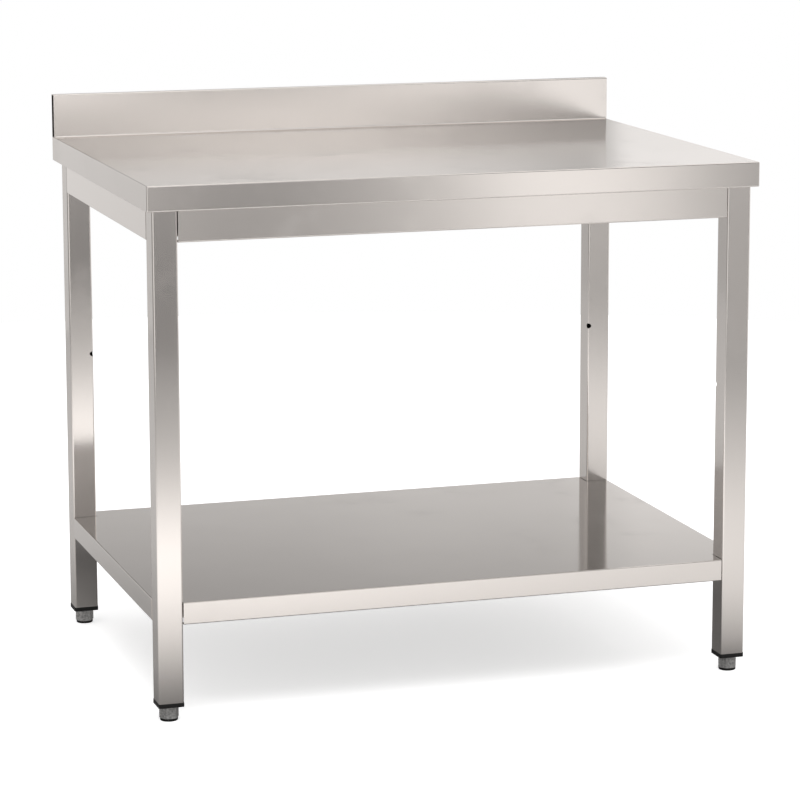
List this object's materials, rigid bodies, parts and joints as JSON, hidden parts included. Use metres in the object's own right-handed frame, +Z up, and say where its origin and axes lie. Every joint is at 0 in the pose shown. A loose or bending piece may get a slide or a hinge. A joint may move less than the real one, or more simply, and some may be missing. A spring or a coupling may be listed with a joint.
{
  "type": "work table",
  "caption": "Folded sheet-metal work table with a rear upstand, an undershelf, square tube legs and screw-adjustable hexagonal feet.",
  "frame": {"origin": "on the floor, under the middle of the deck's outline, with the feet screwed home", "axes": "+X to the user's right along the table, +Y to the rear towards the upstand, +Z up"},
  "size_m": [1, 0.7, 0.913],
  "materials": {
    "top_sheet": "satin brushed stainless steel",
    "frame_sheet": "satin brushed stainless steel",
    "shelf_sheet": "satin brushed stainless steel",
    "leg_tube": "satin brushed stainless steel tube",
    "hidden_sheet": "mill finish sheet",
    "bracket_sheet": "mill finish sheet",
    "board": "chipboard with a pale laminate",
    "plug_plastic": "black moulded plastic",
    "pad_plastic": "black moulded plastic",
    "foot_metal": "satin hexagonal sleeve",
    "thread_metal": "zinc plated threaded rod",
    "fastener": "bright steel fasteners"
  },
  "bodies": {
    "frame": {"tabletop": "top_sheet", "core_board": "board", "deck_stiffener": "hidden_sheet", "shelf_stiffener": "hidden_sheet", "apron_front": "frame_sheet", "apron_rear": "frame_sheet", "apron_left": "frame_sheet", "apron_right": "frame_sheet", "undershelf": "shelf_sheet", "frame_bracket_front_left": "bracket_sheet", "shelf_bracket_front_left": "bracket_sheet", "leg_front_left": "leg_tube", "leg_plug_front_left": "plug_plastic", "frame_bracket_front_right": "bracket_sheet", "shelf_bracket_front_right": "bracket_sheet", "leg_front_right": "leg_tube", "leg_plug_front_right": "plug_plastic", "frame_bracket_rear_right": "bracket_sheet", "shelf_bracket_rear_right": "bracket_sheet", "leg_rear_right": "leg_tube", "leg_plug_rear_right": "plug_plastic", "frame_bracket_rear_left": "bracket_sheet", "shelf_bracket_rear_left": "bracket_sheet", "leg_rear_left": "leg_tube", "leg_plug_rear_left": "plug_plastic", "frame_bolts": "fastener", "frame_washers": "fastener", "frame_nut_blocks": "fastener", "frame_screws": "fastener", "shelf_bolts": "fastener", "shelf_washers": "fastener", "shelf_nut_blocks": "fastener", "foot_nuts": "fastener"},
    "foot_glide_front_left": {"foot_pad_front_left": "pad_plastic"},
    "foot_screw_front_left": {"foot_sleeve_front_left": "foot_metal", "foot_stud_front_left": "thread_metal"},
    "foot_glide_front_right": {"foot_pad_front_right": "pad_plastic"},
    "foot_screw_front_right": {"foot_sleeve_front_right": "foot_metal", "foot_stud_front_right": "thread_metal"},
    "foot_glide_rear_right": {"foot_pad_rear_right": "pad_plastic"},
    "foot_screw_rear_right": {"foot_sleeve_rear_right": "foot_metal", "foot_stud_rear_right": "thread_metal"},
    "foot_glide_rear_left": {"foot_pad_rear_left": "pad_plastic"},
    "foot_screw_rear_left": {"foot_sleeve_rear_left": "foot_metal", "foot_stud_rear_left": "thread_metal"}
  },
  "joints": [
    {"name": "foot_lift_front_left", "type": "slide", "parent": "frame", "child": "foot_glide_front_left", "axis": [0, 0, -1], "range_m": [0, 0.05]},
    {"name": "foot_turn_front_left", "type": "hinge", "parent": "foot_glide_front_left", "child": "foot_screw_front_left", "pos_m": [-0.47, -0.319, 0.015], "axis": [0, 0, -1], "range_deg": [0, 12000]},
    {"name": "foot_lift_front_right", "type": "slide", "parent": "frame", "child": "foot_glide_front_right", "axis": [0, 0, -1], "range_m": [0, 0.05]},
    {"name": "foot_turn_front_right", "type": "hinge", "parent": "foot_glide_front_right", "child": "foot_screw_front_right", "pos_m": [0.47, -0.319, 0.015], "axis": [0, 0, -1], "range_deg": [0, 12000]},
    {"name": "foot_lift_rear_right", "type": "slide", "parent": "frame", "child": "foot_glide_rear_right", "axis": [0, 0, -1], "range_m": [0, 0.05]},
    {"name": "foot_turn_rear_right", "type": "hinge", "parent": "foot_glide_rear_right", "child": "foot_screw_rear_right", "pos_m": [0.47, 0.306, 0.015], "axis": [0, 0, -1], "range_deg": [0, 12000]},
    {"name": "foot_lift_rear_left", "type": "slide", "parent": "frame", "child": "foot_glide_rear_left", "axis": [0, 0, -1], "range_m": [0, 0.05]},
    {"name": "foot_turn_rear_left", "type": "hinge", "parent": "foot_glide_rear_left", "child": "foot_screw_rear_left", "pos_m": [-0.47, 0.306, 0.015], "axis": [0, 0, -1], "range_deg": [0, 12000]}
  ],
  "couplings": [
    {"joint": "foot_turn_front_left", "follows": "foot_lift_front_left", "rad_per_m": 4188.8},
    {"joint": "foot_turn_front_right", "follows": "foot_lift_front_right", "rad_per_m": 4188.8},
    {"joint": "foot_turn_rear_right", "follows": "foot_lift_rear_right", "rad_per_m": 4188.8},
    {"joint": "foot_turn_rear_left", "follows": "foot_lift_rear_left", "rad_per_m": 4188.8}
  ]
}
